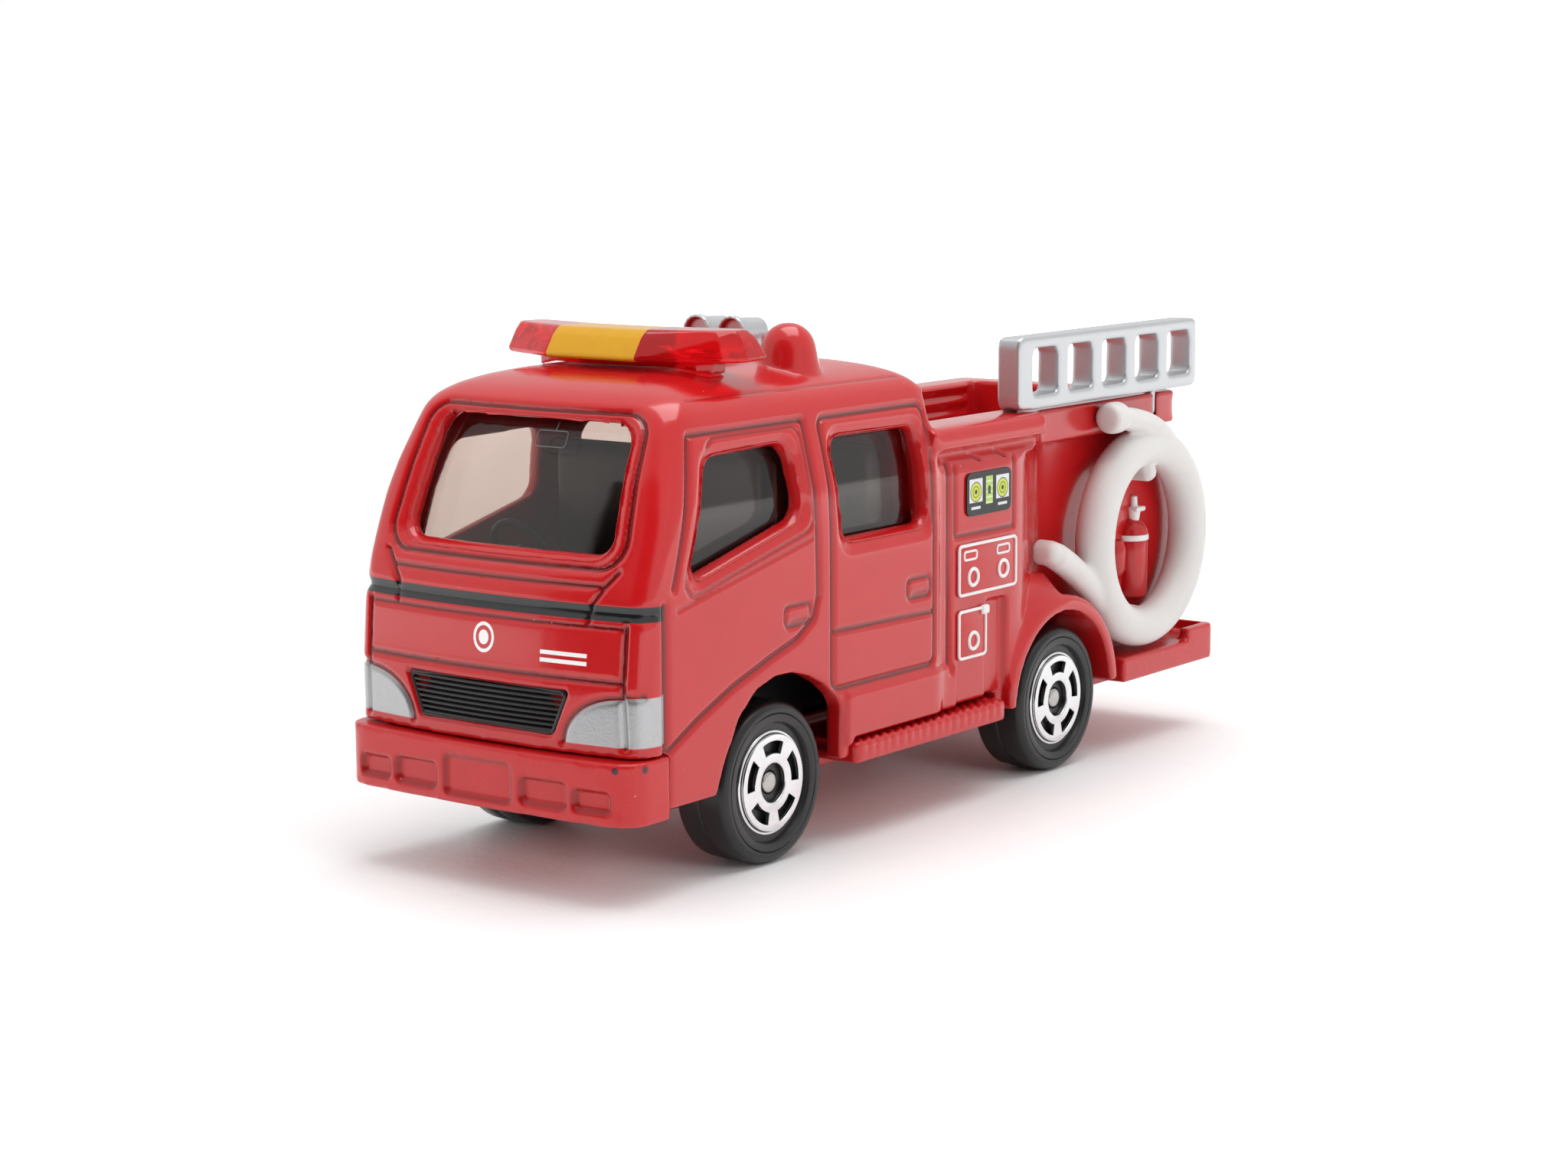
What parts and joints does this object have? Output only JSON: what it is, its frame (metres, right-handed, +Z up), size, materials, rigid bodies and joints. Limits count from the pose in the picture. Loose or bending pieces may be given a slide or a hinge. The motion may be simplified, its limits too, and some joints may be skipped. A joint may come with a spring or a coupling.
{
  "type": "toy fire engine",
  "caption": "Small die-cast crew-cab fire engine with sprung rolling wheels, roof light bar, side ladder and coiled suction hoses.",
  "frame": {"origin": "on the ground under the middle of the vehicle's box", "axes": "+Z up, the vehicle's front faces -Y, its left side is +X"},
  "size_m": [0.0256, 0.0748, 0.0355],
  "materials": {
    "red_enamel": "gloss enamel on zinc die casting",
    "base_red": "moulded red plastic, semi-gloss",
    "smoked_clear": "smoked clear plastic",
    "black_plastic": "moulded black plastic",
    "wheel_black": "moulded black plastic with bright stamped hub face",
    "clear_red": "clear red plastic with painted amber middle",
    "silver_plastic": "satin silver paint",
    "white_plastic": "moulded white plastic",
    "steel": "bright steel wire",
    "spring_strip": "springy black plastic strip",
    "gauge_label": "printed label"
  },
  "bodies": {
    "body": {"body_casting": "red_enamel", "base_plate": "base_red", "glazing": "smoked_clear", "interior_tub": "black_plastic", "steering_wheel": "black_plastic", "light_bar": "clear_red", "roof_siren": "silver_plastic", "ladder": "silver_plastic", "suction_hose_left": "white_plastic", "suction_hose_right": "white_plastic", "gauge_label_left": "gauge_label", "gauge_label_right": "gauge_label"},
    "front_suspension": {"front_spring": "spring_strip"},
    "front_wheelset": {"front_axle": "steel", "front_wheel_left": "wheel_black", "front_wheel_right": "wheel_black"},
    "rear_suspension": {"rear_spring": "spring_strip"},
    "rear_wheelset": {"rear_axle": "steel", "rear_wheel_left": "wheel_black", "rear_wheel_right": "wheel_black"}
  },
  "joints": [
    {"name": "front_suspension_travel", "type": "slide", "parent": "body", "child": "front_suspension", "axis": [0, 0, 1], "range_m": [0, 0.0008], "stiffness_N_per_m": 400, "springref_m": -0.002},
    {"name": "front_wheels_roll", "type": "hinge", "parent": "front_suspension", "child": "front_wheelset", "pos_m": [0, -0.02085, 0.0055], "axis": [1, 0, 0], "continuous": true},
    {"name": "rear_suspension_travel", "type": "slide", "parent": "body", "child": "rear_suspension", "axis": [0, 0, 1], "range_m": [0, 0.0008], "stiffness_N_per_m": 400, "springref_m": -0.002},
    {"name": "rear_wheels_roll", "type": "hinge", "parent": "rear_suspension", "child": "rear_wheelset", "pos_m": [0, 0.01489, 0.0055], "axis": [1, 0, 0], "continuous": true}
  ]
}
